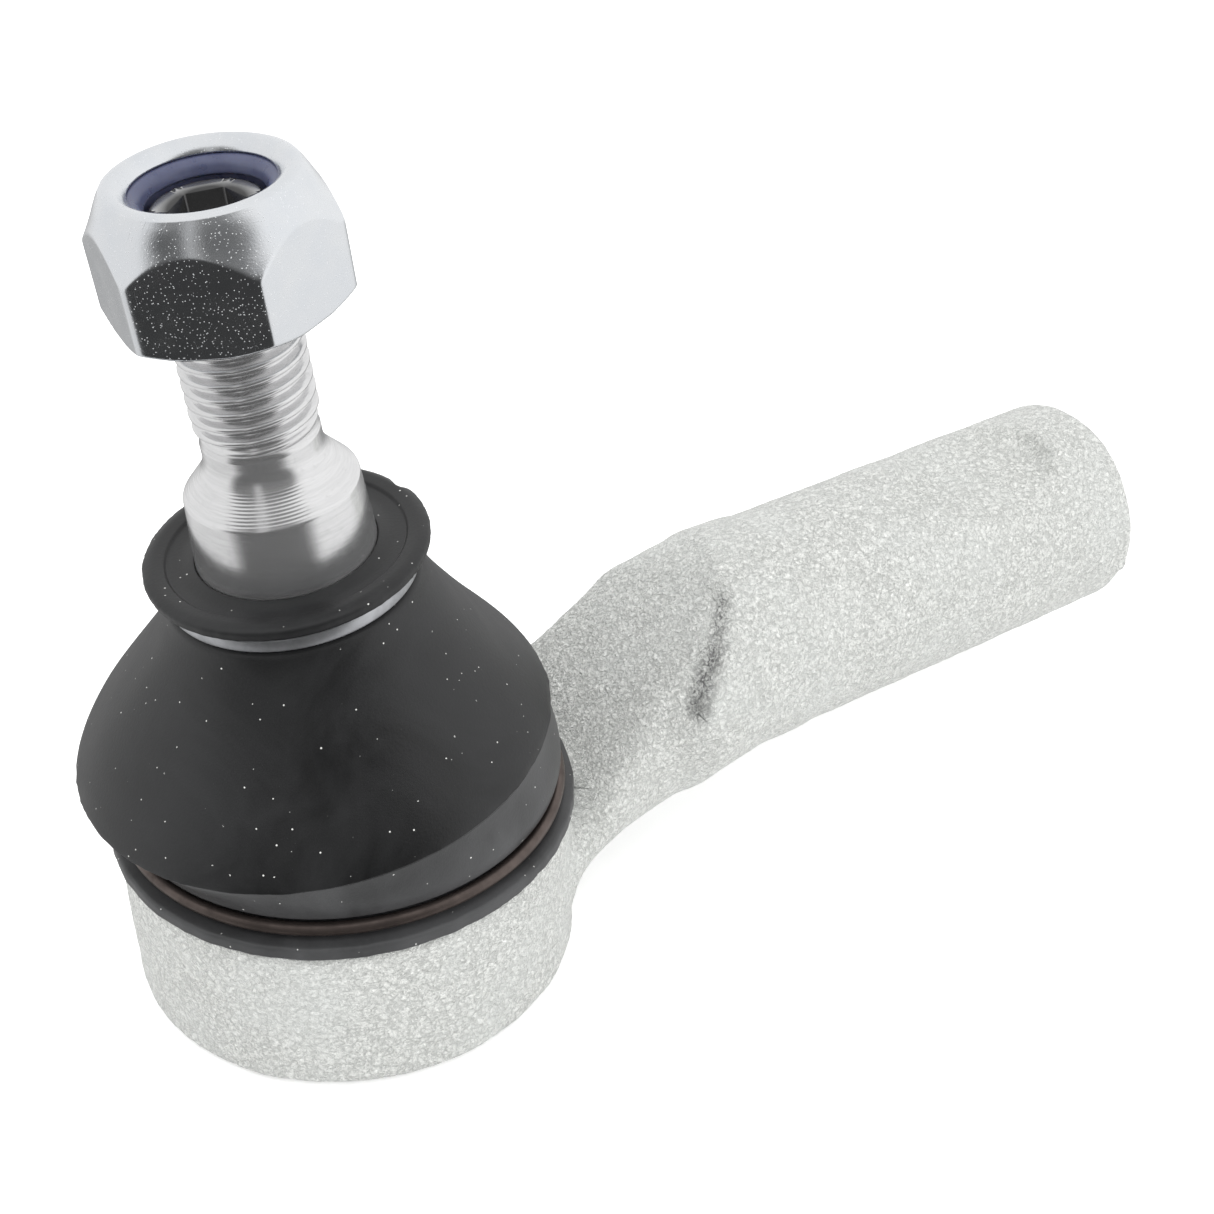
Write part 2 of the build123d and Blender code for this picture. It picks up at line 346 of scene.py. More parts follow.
def forging_material():
    """Zinc-coated forging: pale, with a fine crusty grain, greyer patches and painted shade along the fold.
    """
    made, principled = shader("galvanised_forging", (0.84, 0.85, 0.83), 0.0, 0.45, Specular_IOR_Level=0.35)
    where = coordinates(made)
    grain = noise_texture(made, where, 2.2, 4.0, 0.7, 1.0)
    crust = cells(made, where, 3.4)
    patches = noise_texture(made, where, 0.1, 5.0, 0.6)
    fine = noise_texture(made, where, 5.0, 3.0, 0.6)
    bright = ramp(made, grain, 0.42, 0.56, 0.0, 1.0)
    worn = sum_of(made, bright, ramp(made, crust, 0.15, 0.6, 0.0, 0.35), "SUBTRACT")
    shade = mixed(made, worn, (0.56, 0.57, 0.55), (0.93, 0.94, 0.91))
    tone = mixed(made, ramp(made, patches, 0.45, 0.66, 0.0, 0.45), shade, (0.74, 0.76, 0.74))
    # Painted shade: the base colour darkens to near black along the fold, where the crease falls into shade
    upper_fold_shade = near_line(made, where, fold_line[0], fold_line[1], 1.1, fold_outward)
    lower_fold_shade = near_line(made, where, fold_line[1], fold_line[2], 1.7, fold_outward)
    painted_fold_shade = sum_of(made, upper_fold_shade, lower_fold_shade, "MAXIMUM")
    painted_fold_shade = sum_of(made, painted_fold_shade, ramp(made, grain, 0.4, 0.58, 1.15, 0.2), "MULTIPLY")
    feed(made, principled, "Base Color", mixed(made, painted_fold_shade, tone, (0.17, 0.17, 0.17)))
    feed(made, principled, "Metallic", ramp(made, grain, 0.5, 0.66, 0.02, 0.28))
    feed(made, principled, "Roughness", ramp(made, fine, 0.3, 0.7, 0.28, 0.5))
    relief = sum_of(made, sum_of(made, grain, sum_of(made, crust, 0.35, "MULTIPLY"), "SUBTRACT"),
                    sum_of(made, fine, 0.2, "MULTIPLY"))
    bumps(made, principled, relief, 0.55, 1.0)
    return made


def machined_material(name, base, roughness, ring_scale, ring_depth, turn=0.0):
    """Turned steel with fine rings around the stud's axis, and painted shade in its hexagon socket."""
    made, principled = shader(name, base, 0.9, roughness)
    where = coordinates(made, turn, (0.05, 0.05, 1))
    rings = noise_texture(made, where, ring_scale, 3.0, 0.7)
    place = coordinates(made)
    specks = noise_texture(made, place, 1.6, 6.0, 0.6)
    feed(made, principled, "Roughness", ramp(made, specks, 0.35, 0.7, roughness * 0.85, roughness * 1.25))
    stain, streak = (tuple(side * share for side in base) for share in (0.7, 0.75))
    stained = mixed(made, ramp(made, specks, 0.6, 0.75, 0.0, 0.35), base, stain)
    streaked = mixed(made, ramp(made, rings, 0.4, 0.6, 0.0, 0.25), stained, streak)
    # Painted shade: the base colour goes near black in and around the hexagon socket, where the recess
    # falls into shade
    socket_shade = near_line(made, place, socket_line[0], socket_line[1], 4.9)
    socket_shade = ramp(made, socket_shade, 0.1, 0.42, 0.0, 0.93)
    feed(made, principled, "Base Color", mixed(made, socket_shade, streaked, (0.03, 0.03, 0.03)))
    bumps(made, principled, rings, ring_depth, 0.6)
    return made


def zinc_material():
    """Bright zinc plating with a bluish cast, fine pits and handling marks."""
    made, principled = shader("nut_zinc", (0.72, 0.74, 0.77), 1.0, 0.18)
    where = coordinates(made)
    cloud = noise_texture(made, where, 0.35, 4.0, 0.6)
    pits = cells(made, where, 4.2)
    fine = noise_texture(made, where, 6.0, 4.0, 0.65)
    scratches = noise_texture(made, coordinates(made, 0.6, (0.4, 9, 0.4)), 1.0, 2.0, 0.5)
    hue = mixed(made, cloud, (0.67, 0.7, 0.74), (0.8, 0.81, 0.82))
    pitted = mixed(made, ramp(made, pits, 0.08, 0.16, 0.6, 0.0), hue, (0.88, 0.89, 0.88))
    feed(made, principled, "Base Color", pitted)
    feed(made, principled, "Metallic", ramp(made, pits, 0.1, 0.2, 0.55, 1.0))
    feed(made, principled, "Roughness", ramp(made, cloud, 0.3, 0.7, 0.13, 0.25))
    marks = sum_of(made, ramp(made, pits, 0.05, 0.2, 1.0, 0.0), ramp(made, scratches, 0.66, 0.72, 0.0, 0.2))
    relief = sum_of(made, sum_of(made, fine, 0.5, "MULTIPLY"), marks)
    bumps(made, principled, relief, 0.03, 0.5)
    return made


def rubber_material(name, dark, pale):
    """Satin black rubber with pale dust specks and faint mould bloom."""
    made, principled = shader(name, dark, 0.0, 0.42, Specular_IOR_Level=0.45)
    where = coordinates(made)
    bloom = noise_texture(made, where, 0.09, 4.0, 0.6, 0.6)
    dust = cells(made, where, 0.95)
    lint = noise_texture(made, coordinates(made, 0.9, (0.5, 2.2, 0.9)), 2.6, 2.0, 0.5)
    skin_grain = noise_texture(made, where, 3.5, 3.0, 0.6)
    base = mixed(made, ramp(made, bloom, 0.35, 0.7, 0.0, 1.0), dark, pale)
    specks = ramp(made, dust, 0.055, 0.085, 1.0, 0.0)
    dusty = sum_of(made, specks, ramp(made, lint, 0.46, 0.52, 0.0, 1.0), "MULTIPLY")
    feed(made, principled, "Base Color", mixed(made, dusty, base, (0.62, 0.62, 0.6)))
    feed(made, principled, "Roughness", ramp(made, bloom, 0.3, 0.7, 0.36, 0.5))
    bumps(made, principled, sum_of(made, skin_grain, dusty), 0.03, 0.5)
    return made


def nylon_material():
    """Blue nylon, slightly translucent, with a moulded sheen."""
    made, principled = shader("insert_nylon", (0.07, 0.08, 0.17), 0.0, 0.34, Subsurface_Weight=0.1)
    where = coordinates(made)
    mottle = noise_texture(made, where, 0.8, 3.0, 0.5)
    feed(made, principled, "Base Color", mixed(made, mottle, (0.045, 0.05, 0.105), (0.1, 0.105, 0.17)))
    feed(made, principled, "Roughness", ramp(made, mottle, 0.3, 0.7, 0.24, 0.42))
    bumps(made, principled, noise_texture(made, where, 5.0), 0.02, 0.4)
    return made


def plain_material(name, base, metallic, roughness, grain_scale, grain_depth):
    """A finish for the pieces that are seen little: uneven tone and a fine grain."""
    made, principled = shader(name, base, metallic, roughness)
    where = coordinates(made)
    tone = noise_texture(made, where, 0.5, 4.0, 0.6)
    darker = tuple(side * 0.7 for side in base)
    feed(made, principled, "Base Color", mixed(made, ramp(made, tone, 0.35, 0.7, 0.0, 1.0), base, darker))
    feed(made, principled, "Roughness", ramp(made, tone, 0.3, 0.7, roughness * 0.8, roughness * 1.25))
    bumps(made, principled, noise_texture(made, where, grain_scale), grain_depth, 0.6)
    return made


forging = forging_material()
ground_steel = machined_material("stud_steel", (0.74, 0.74, 0.745), 0.2, 5.0, 0.005, lean)
zinc = zinc_material()
rubber = rubber_material("boot_rubber", (0.006, 0.0062, 0.0066), (0.017, 0.0175, 0.0185))
# A paler copy of the boot's rubber, used on the boot's lower zone
paler_rubber = rubber_material("boot_rubber_paler", (0.03, 0.0305, 0.0315), (0.06, 0.061, 0.063))
nylon = nylon_material()
wire_steel = plain_material("ring_wire", (0.13, 0.105, 0.095), 0.85, 0.4, 4.0, 0.02)
band_steel = plain_material("ring_band", (0.5, 0.51, 0.53), 0.9, 0.36, 3.0, 0.01)
plate_steel = plain_material("pressed_plate", (0.72, 0.73, 0.74), 0.95, 0.34, 2.0, 0.03)
spring_steel = plain_material("spring_steel", (0.33, 0.33, 0.35), 0.95, 0.3, 3.0, 0.02)
acetal = plain_material("seat_plastic", (0.82, 0.81, 0.75), 0.0, 0.3, 3.0, 0.02)
bush_plastic = plain_material("bush_plastic", (0.05, 0.05, 0.055), 0.0, 0.45, 3.0, 0.02)

# ---------- forged housing ----------

def blend_union(first, last, soft):
    """Distance to two solids joined with a soft inside corner."""
    share = np.clip(0.5 + 0.5 * (last - first) / soft, 0, 1)
    return last * (1 - share) + first * share - soft * share * (1 - share)


def blend_common(first, last, soft):
    """Distance to what two solids share, with a soft outside edge."""
    return -blend_union(-first, -last, soft)


def forging_distance(p):
    """Signed distance from the forging's outer surface, in millimetres."""
    x, y, z = p[:, 0], p[:, 1], p[:, 2]
    radius = np.hypot(x, y)
    # Socket body: a short drum with rounded edges
    edge = 0.9
    out_r = radius - (housing_r - edge)
    out_z = np.abs(z - housing_h / 2) - (housing_h / 2 - edge)
    corner = np.hypot(np.maximum(out_r, 0), np.maximum(out_z, 0))
    drum = np.minimum(np.maximum(out_r, out_z), 0) + corner - edge
    # Shank: rolled about its own axis, with a flash ridge along the parting line
    from_axis = z - ball_z
    rolled_y = y * cos(shank_roll) + from_axis * sin(shank_roll)
    rolled_z = from_axis * cos(shank_roll) - y * sin(shank_roll)
    parting_drop = 0.6
    flash = 0.3 * np.exp(-((rolled_z + parting_drop) / 0.55) ** 2) * smooth_step(24, 34, x)
    step = 0.22 * smooth_step(-0.4, 0.4, -(rolled_z + parting_drop))
    shank = np.hypot(y, from_axis) - shank_r - flash + step
    start_face = -0.8 * (x - 37.6) + 0.3 * (y + 5.0) + 0.52 * (z - 25.6)
    shank = blend_common(shank, start_face, 1.0)
    low_face = -0.87 * (x - 30.5) - 0.5 * (z - ball_z)
    shank = blend_common(shank, low_face, 3.0)
    shank = blend_common(shank, x - shank_end, 1.1)
    # Neck: a tapered web whose top climbs from the socket to the shank
    climb = 15.2 + (x - 24.0) * 0.73
    slope_top = (z - climb - rolled_y * 0.14) * 0.82
    half_width = 8.8 + 0.014 * (x - 34) ** 2
    sides = (np.abs(y) - half_width) * 0.95
    underside = 4.4 + 0.05 * np.clip(x - 16, 0, 24) - z
    neck = blend_common(blend_common(sides, slope_top, 3.0), underside, 5.0)
    inset = 0.5 * smooth_step(21.0, 15.0, z)
    neck = blend_common(neck, blend_union(np.hypot(y, from_axis) - shank_r + inset, x - 34, 3.0), 2.0)
    neck = blend_common(neck, x - 47, 2.0)
    neck = blend_common(neck, 6 - x, 2.0)
    soft = 1.3 + 3.7 * smooth_step(18.5, 12.0, z) * smooth_step(42.0, 33.0, x)
    body = blend_union(blend_union(drum, neck, 2.6), shank, soft)
    # Fold where the web's near edge runs into the shank
    fold = np.full_like(x, 9.0)
    for start, end in zip(fold_line, fold_line[1:]):
        run = end - start
        offset = p - start
        offset = offset - fold_flatten * (offset @ fold_outward)[:, None] * fold_outward
        share = np.clip((offset @ run) / (run @ run), 0, 1)
        fold = np.minimum(fold, np.linalg.norm(offset - share[:, None] * run, axis=1))
    fold_depth, fold_half = 0.9, 1.0
    body = body + fold_depth * np.exp(-((fold / fold_half) ** 2))
    # Spot face under the boot's flange, and the spigot that the boot grips
    spot_face_r, spigot_middle = 21.2, 15
    clear = blend_common(radius - spot_face_r, housing_h - z, 0.3)
    body = blend_common(body, -clear, 0.4)
    spigot = blend_common(radius - spigot_r, np.abs(z - spigot_middle) - (spigot_top - spigot_middle), 0.5)
    body = np.minimum(body, spigot)
    # Wrench flats on both sides of the shank
    flat_height, flat_middle, flat_half, flat_wide = 9.45, 72.8, 8.8, 6.0
    beyond = np.maximum(np.abs(x - flat_middle) - (flat_half - flat_wide), 0)
    outline = np.hypot(beyond, rolled_y) - flat_wide
    flat_cut = blend_common(outline, flat_height - np.abs(rolled_z), 1.6)
    return blend_common(body, -flat_cut, 0.9)


def value_and_slope(p, nudge):
    """The forging's signed distance at each point, and how it changes along the three axes."""
    value = forging_distance(p)
    changes = [(forging_distance(p + nudge * axis) - value) / nudge for axis in np.eye(3)]
    return value, np.stack(changes, 1)


def forged_housing():
    """Copy the frame's housing, remesh it evenly and move its outside onto the forging's shape."""
    source = frame["nodes"]["forged_housing"]
    made = bpy.data.objects.new("forging_body", source.data.copy())
    bpy.context.collection.objects.link(made)
    remesh = made.modifiers.new("even", "REMESH")
    remesh.mode = "VOXEL"
    remesh.voxel_size = 0.42 * MM
    depsgraph = bpy.context.evaluated_depsgraph_get()
    even = bpy.data.meshes.new_from_object(made.evaluated_get(depsgraph))
    bpy.data.objects.remove(made)
    count = len(even.vertices)
    p = np.empty(count * 3)
    even.vertices.foreach_get("co", p)
    p = p.reshape(-1, 3) / MM
    edges = np.empty(len(even.edges) * 2, int)
    even.edges.foreach_get("vertices", edges)
    edges = edges.reshape(-1, 2)

    def relaxed(q):
        total, number = np.zeros_like(q), np.zeros(count)
        for a, b in ((0, 1), (1, 0)):
            np.add.at(total, edges[:, a], q[edges[:, b]])
            np.add.at(number, edges[:, a], 1)
        return total / number[:, None]

    radius = np.hypot(p[:, 0], p[:, 1])
    in_socket = (radius < socket_bore_r + 0.25) & (p[:, 2] > -0.3)
    from_axis = np.hypot(p[:, 1], p[:, 2] - ball_z)
    in_bore = from_axis < thread_bore_r + mouth_chamfer + 0.3
    in_bore &= p[:, 0] > shank_end - thread_bore_depth - 6
    in_recess = (radius < plate_r + 0.4) & (p[:, 2] > 0.4) & (p[:, 2] < 3.2)
    outside = ~(in_socket | in_bore | in_recess)
    nudge, passes, steps = 0.01, 7, 2
    for _ in range(passes):
        q = relaxed(p)
        p[outside] = 0.5 * (p + q)[outside]
        here = p[outside]
        for _ in range(steps):
            value, slope = value_and_slope(here, nudge)
            size = np.maximum((slope**2).sum(1), 0.3)
            here = here - slope * np.clip(value / size, -0.6, 0.6)[:, None]
        p[outside] = here
    # Room for the thread sleeve behind the bore's wall
    sleeve_room = 0.95
    behind = sleeve_room * smooth_step(shank_end - mouth_chamfer, shank_end - mouth_chamfer - 0.8, p[:, 0])
    widened = in_bore & (from_axis > 5.8) & (from_axis < thread_bore_r + 0.5)
    grow = np.where(widened, 1 + behind / np.maximum(from_axis, 1), 1)
    p[:, 1] *= grow
    p[:, 2] = ball_z + (p[:, 2] - ball_z) * grow
    _, slope = value_and_slope(p, nudge)
    slope /= np.maximum(np.linalg.norm(slope, axis=1), 1e-6)[:, None]
    rough = np.array([0.13 * noise.noise(Vector(v) * 0.22) + 0.05 * noise.noise(Vector(v) * 0.9)
                      + 0.03 * noise.noise(Vector(v) * 1.9) for v in p])
    under_boot = smooth_step(20.4, 20.0, np.hypot(p[:, 0], p[:, 1]))
    calm = 1 - 0.7 * under_boot * smooth_step(14.6, 15.0, p[:, 2])
    p[outside] += (slope * (rough * calm)[:, None])[outside]
    faces = [tuple(polygon.vertices) for polygon in even.polygons]
    return piece("forging_body", p, faces, forging, "housing", "forged_housing", "galvanised_forging")


forged_housing()


def shank_thread():
    """Female thread in the shank's bore: M14 x 1.5, as a thin sleeve with a helical groove."""
    columns, rows_per_turn, thread_pitch = 72, 8, 1.5
    length = thread_bore_depth - mouth_chamfer - 3
    rows = int(length / thread_pitch * rows_per_turn)
    angles = around(columns)[None, :]
    along = np.linspace(0, length, rows)[:, None]
    phase = along / thread_pitch - angles / tau
    fade = smooth_step(0, 1.2, along) * smooth_step(length, length - 2.5, along)
    depth = 0.8 * fade * (1 - thread_wave(phase))
    inner = thread_bore_r - 0.03 + depth
    x = shank_end - mouth_chamfer + 0 * angles - along
    wall = np.stack([x, inner * np.cos(angles), ball_z + inner * np.sin(angles)], -1)
    outer_r = thread_bore_r + 1.0
    back = [np.stack([x[row], outer_r * np.cos(angles[0]), ball_z + outer_r * np.sin(angles[0])], -1)
            for row in (-1, 0)]
    points, faces = skin(np.concatenate([wall, np.array(back)]), loop_rows=True)
    return piece("shank_thread", points, faces, plate_steel,
                 "housing", "forged_housing", "galvanised_forging")


shank_thread()

# ---------- ball stud ----------

taper_low, taper_low_r, taper_ratio = 20.8, 7.85, 8.0
shoulder_h, chamfer_top, stud_neck_r = 33.7, 36.3, 4.75
thread_start, thread_r, pitch = 38.8, 5.0, 1.25


def taper_radius(height):
    """Radius of the stud's taper at a height above the ball's centre."""
    return taper_low_r - (height - taper_low) / (2 * taper_ratio)


def stud():
    """Ball, neck, taper, rolled thread and hexagon socket as one turned piece."""
    columns = 144
    ball_r, ball_flat_r, neck_r = 11.0, 5.0, 5.6
    ball_angles = np.linspace(-np.arccos(ball_flat_r / ball_r), np.arccos(neck_r / ball_r), 60)
    ball = np.stack([ball_r * np.cos(ball_angles), ball_r * np.sin(ball_angles)], 1)
    shaft = soft_outline([
        (neck_r, ball[-1, 1] + 0.2, 0), (neck_r, taper_low - 3, 1.5), (taper_low_r, taper_low, 0.8),
        (taper_radius(shoulder_h), shoulder_h, 0.12), (stud_neck_r + 0.5, chamfer_top - 0.5, 0.9),
        (stud_neck_r, chamfer_top + 0.6, 0.6), (stud_neck_r, thread_start - 0.4, 0)], 0.055)
    groove_pitch, groove_depth = 0.22, 0.012
    turned = smooth_step(shoulder_h + 0.1, shoulder_h + 0.3, shaft[:, 1])
    turned *= smooth_step(chamfer_top - 0.1, chamfer_top - 0.5, shaft[:, 1])
    shaft[:, 0] += turned * groove_depth * np.sin(shaft[:, 1] * tau / groove_pitch)
    thread_h = np.arange(thread_start, stud_end - 0.2, pitch / 12)
    thread = np.stack([np.full_like(thread_h, thread_r), thread_h], 1)
    outline = np.vstack([ball, shaft, thread])
    angles = around(columns)[None, :]
    radius = outline[:, :1] + 0 * angles
    height = outline[:, 1:] + 0 * angles
    threaded = height >= thread_start
    phase = (height - thread_start) / pitch - angles / tau
    run_in = smooth_step(thread_start, thread_start + 1.6, height)
    run_out = smooth_step(stud_end - 0.1, stud_end - 1.4, height)
    cut = 0.72 * thread_wave(phase) * (0.35 + 0.65 * run_in) + 0.42 * (1 - run_in) * threaded
    radius = np.where(threaded, radius - cut - 0.75 * (1 - run_out), radius)
    grid = on_stud(radius, height, angles + 0 * height)
    # End face with a slight dish, then the hexagon socket
    socket_half, socket_depth = 2.5, 5.0
    turn = 0.35
    sector = (angles[0] + turn) % (tau / 6) - tau / 12
    hexagon = socket_half / np.cos(sector)
    socket = ((1.45, 0.0), (1.12, -0.02), (1.0, -0.18), (1.0, -socket_depth), (0.6, -socket_depth),
              (0.1, -socket_depth - 1.2))
    rows = [on_stud(hexagon * grow, np.full(columns, stud_end + rise), angles[0]) for grow, rise in socket]
    face = [on_stud(np.full(columns, ring), np.full(columns, stud_end - drop), angles[0])
            for ring, drop in ((4.15, 0.06), (3.95, 0.0))]
    points, faces = capped(np.concatenate([grid, np.array(face + rows)]))
    return piece("ball_stud_turned", points, faces, ground_steel, "stud", "ball_stud", "stud_steel")


stud()

# ---------- dust boot ----------

parting_h = 8.2
collar_low, collar_top = 24.0, 27.9
bulge_shift = np.array([-1.0, 0.65, 0.0])
# Torn moulding flash on the collar's rim, in degrees about the stud
tear_angle = 7


def boot_points(outline, columns, ragged=None):
    """Grid of points of a boot outline, which leans with the stud and bulges to one side."""
    angles = around(columns)[None, :]
    share = smooth_step(3.2, 9.5, outline[:, 1])[:, None] + 0 * angles
    across, sideways, along = lean_axes(lean * share)
    radius = outline[:, :1] + 0 * angles
    if ragged is not None:
        radius = radius + ragged
    bulge = smooth_step(3.0, 8.0, outline[:, 1]) * smooth_step(24.0, 12.0, outline[:, 1])
    return (ball_centre + (radius * np.cos(angles))[..., None] * across
            + (radius * np.sin(angles))[..., None] * sideways + outline[:, 1:, None] * along
            + bulge[:, None, None] * bulge_shift)


def boot():
    """Rubber boot in two moulded zones that meet at its parting line."""
    columns = 240
    flange_low = housing_h - ball_z + 0.12
    lower = soft_outline([
        (17.5, flange_low, 0.1), (20.5, flange_low, 0.15), (20.45, flange_low + 1.1, 0.35),
        (18.35, flange_low + 1.35, 0.15), (18.3, 2.5, 0.2), (19.1, 2.75, 0.3), (19.75, 4.6, 1.2),
        (20.3, parting_h, 0), (18.8, parting_h, 0), (18.0, 5.0, 1.5), (17.5, 3.3, 0.4)], 0.3, closed=True)
    angles = around(columns)
    lip = 0.09 * ring_noise(angles, 14, 1.0) + 0.05 * ring_noise(angles, 40, 2.0)
    at_flange = smooth_step(19.6, 20.4, lower[:, 0]) * smooth_step(2.0, 1.2, lower[:, 1])
    grid = boot_points(lower, columns, at_flange[:, None] * lip[None, :])
    points, faces = skin(grid, loop_rows=True)
    # The boot's lower zone takes the paler copy of the rubber
    base = piece("boot_lower", points, faces, paler_rubber, None, "dust_boot", "boot_rubber")
    upper = soft_outline([
        (20.35, parting_h, 0), (20.6, parting_h + 0.2, 0.1), (20.45, parting_h + 0.7, 0.3),
        (19.8, 10.2, 1.2), (18.4, 12.3, 1.5), (15.4, 16.2, 2.0), (12.4, 20.3, 2.0), (10.9, 23.0, 1.2),
        (10.55, collar_low + 0.3, 0.3), (9.95, collar_low + 0.6, 0.1), (9.95, 26.1, 0.15),
        (11.65, 26.75, 0.25), (11.75, 27.6, 0.3), (11.0, collar_top, 0.4), (9.95, 27.72, 0.1),
        (9.75, 27.45, 0.1), (8.6, 27.35, 0.4), (7.46, 27.65, 0.2), (7.52, 26.7, 0), (9.1, 26.6, 0),
        (9.1, 22.9, 0.3), (11.2, 19.6, 2.0), (14.0, 15.6, 2.0), (17.0, 11.8, 2.0), (18.8, parting_h, 0)],
        0.3, closed=True)
    torn = 0.1 * ring_noise(angles, 9, 3.0) + 0.13 * np.maximum(ring_noise(angles, 30, 4.0), 0)
    at_line = smooth_step(20.0, 20.4, upper[:, 0])
    at_line *= smooth_step(parting_h + 0.9, parting_h + 0.1, upper[:, 1])
    from_tear = (np.degrees(angles) - tear_angle + 180) % 360 - 180
    tear = -0.5 * np.exp(-((from_tear / 4) ** 2))
    tear = tear - 0.18 * smooth_step(0, 6, from_tear) * smooth_step(34, 26, from_tear)
    rim = tear + 0.05 * ring_noise(angles, 12, 5.0) + 0.05 * ring_noise(angles, 45, 6.0)
    at_rim = smooth_step(10.9, 11.6, upper[:, 0]) * smooth_step(26.4, 26.7, upper[:, 1])
    ragged = at_line[:, None] * torn[None, :] + at_rim[:, None] * rim[None, :]
    grid = boot_points(upper, columns, ragged)
    points, faces = skin(grid, loop_rows=True)
    dome = piece("boot_upper", points, faces, rubber, None, "dust_boot", "boot_rubber")
    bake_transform(base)
    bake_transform(dome)


boot()


def wire_ring():
    """Open spring-wire ring in the boot's groove, its ends lying past each other."""
    wire_r, ring_r, ring_z = 0.6, 19.12, 17.3
    turns, rows, columns = 1.04, 260, 12
    run = np.linspace(0, turns * tau, rows)
    start = radians(-38)
    height = ring_z + 0.25 * np.sin(run * 0.5) + 0.32 * (run / run[-1] - 0.5)
    centre = np.stack([ring_r * np.cos(start + run), ring_r * np.sin(start + run), height], 1)
    outward = np.stack([np.cos(start + run), np.sin(start + run), 0 * run], 1)
    section = around(columns)
    grid = (centre[:, None] + wire_r * np.cos(section)[None, :, None] * outward[:, None]
            + wire_r * np.sin(section)[None, :, None] * np.array([0, 0, 1.0]))
    points, faces = capped(grid[:, ::-1])
    return piece("clamp_wire", points, faces, wire_steel, "housing", "lower_clamp_ring", "ring_wire")


wire_ring()


def collar_ring():
    """Bright steel band in the groove under the collar's disc."""
    low, high = 24.7, 25.9
    outline = soft_outline([
        (10.0, low, 0.1), (10.45, low, 0.2), (10.52, (low + high) / 2, 0.4), (10.45, high, 0.2),
        (10.0, high, 0.1)], 0.1, closed=True)
    points, faces = skin(lathe(outline, 180), loop_rows=True)
    return piece("collar_ring", points, faces, band_steel, "collar", "upper_clamp_ring", "ring_band")


collar_ring()

# ---------- locknut ----------

nut_bottom, nut_height, nut_af = 49.7, 10.4, 17.0
nut_top = nut_bottom + nut_height
nut_turn = radians(24.5)


def locknut():
    """Hexagon nut with a domed top rolled inwards over the nylon ring."""
    columns = 360
    angles = around(columns)[None, :]
    sector = (angles - nut_turn) % (tau / 6) - tau / 12
    hexagon = nut_af / 2 / np.cos(sector)
    corner = nut_af / sqrt(3)
    dome = soft_outline([
        (corner + 0.1, nut_top - 4.9, 0), (8.5, nut_top - 2.5, 0.8), (7.75, nut_top - 0.95, 0.8),
        (7.3, nut_top - 0.25, 0)], 0.1)
    heights = np.arange(nut_bottom, nut_top - 0.25, 0.11)[:, None]
    dome_r = np.interp(heights, dome[:, 1], dome[:, 0], left=corner + 0.5)
    low_cone = corner - 1.15 + (heights - nut_bottom) * 1.75
    wall = blend_union(hexagon + 0 * heights, np.minimum(low_cone, dome_r) + 0 * angles, 0.1)
    wall = blend_union(wall, corner - 0.1 + 0 * wall, 0.25)
    outer = on_stud(wall, heights + 0 * angles, angles + 0 * wall)
    crown = lathe(soft_outline([
        (7.28, nut_top - 0.22, 0), (6.85, nut_top, 0.3), (6.3, nut_top - 0.05, 0.4),
        (5.65, nut_top - 0.5, 0.3), (5.38, nut_top - 0.9, 0.15), (5.5, nut_top - 1.02, 0)], 0.1), columns)
    inside = lathe(soft_outline([
        (6.6, nut_top - 1.06, 0), (6.6, nut_top - 3.5, 0), (5.2, nut_top - 3.55, 0)], 0.4), columns)
    bore_h = np.arange(nut_top - 3.7, nut_bottom + 0.5, -pitch / 8)[:, None]
    phase = (bore_h - thread_start) / pitch - angles / tau
    root_r, thread_depth = 5.06, 0.5
    run_in = smooth_step(nut_bottom + 0.4, nut_bottom + 1.4, bore_h)
    bore_r = root_r - thread_depth * thread_wave(phase) * run_in + 0 * angles
    bore = on_stud(bore_r, bore_h + 0 * angles, angles + 0 * bore_h)
    mouth = lathe(soft_outline([
        (5.15, nut_bottom + 0.4, 0), (5.55, nut_bottom, 0.1), (corner - 1.4, nut_bottom, 0)], 0.4), columns)
    points, faces = skin(np.concatenate([outer, crown, inside, bore, mouth]), loop_rows=True)
    return piece("locknut_body", points, faces, zinc, "nut", "locknut", "nut_zinc")


def nylon_ring():
    """Nylon ring under the crown's lip, with a softly rounded inner edge."""
    columns = 96
    low, high = nut_top - 3.45, nut_top - 1.08
    outline = soft_outline([
        (6.55, low, 0), (6.55, high, 0.1), (5.2, high + 0.02, 0.3), (4.65, high - 0.35, 0.3),
        (4.45, high - 0.9, 0.2), (4.45, stud_end + 0.2, 0.1), (5.02, stud_end - 0.1, 0.1), (5.02, low, 0)],
        0.15, closed=True)
    points, faces = skin(lathe(outline, columns), loop_rows=True)
    return piece("nylon_ring", points, faces, nylon, "nut_carrier", "nylon_insert", "insert_nylon")


locknut()
nylon_ring()

# ---------- finishes of the pieces that stay as the frame has them ----------

for node, finish in (("closing_plate", plate_steel), ("preload_spring", spring_steel),
                     ("lower_bearing_seat", acetal), ("upper_bearing_seat", acetal),
                     ("collar_bush", bush_plastic)):
    for material_slot in frame["nodes"][node].material_slots:
        material_slot.material = finish

# ---------- floor, light and camera ----------

def floor():
    """Pale seamless floor."""
    size = 3000.0
    corners = [(-size, -size, -0.3), (size, -size, -0.3), (size, size, -0.3), (-size, size, -0.3)]
    paper, _ = shader("floor_paper", (0.93, 0.93, 0.93), 0.0, 0.9,
                      Emission_Color=(1, 1, 1, 1), Emission_Strength=0.3)
    made = piece("floor", corners, [(0, 1, 2, 3)], paper)
    made.visible_glossy = False


toward_viewer = (-0.554, -0.832, 0.0)
beside_viewer = (0.832, -0.554, 0.0)


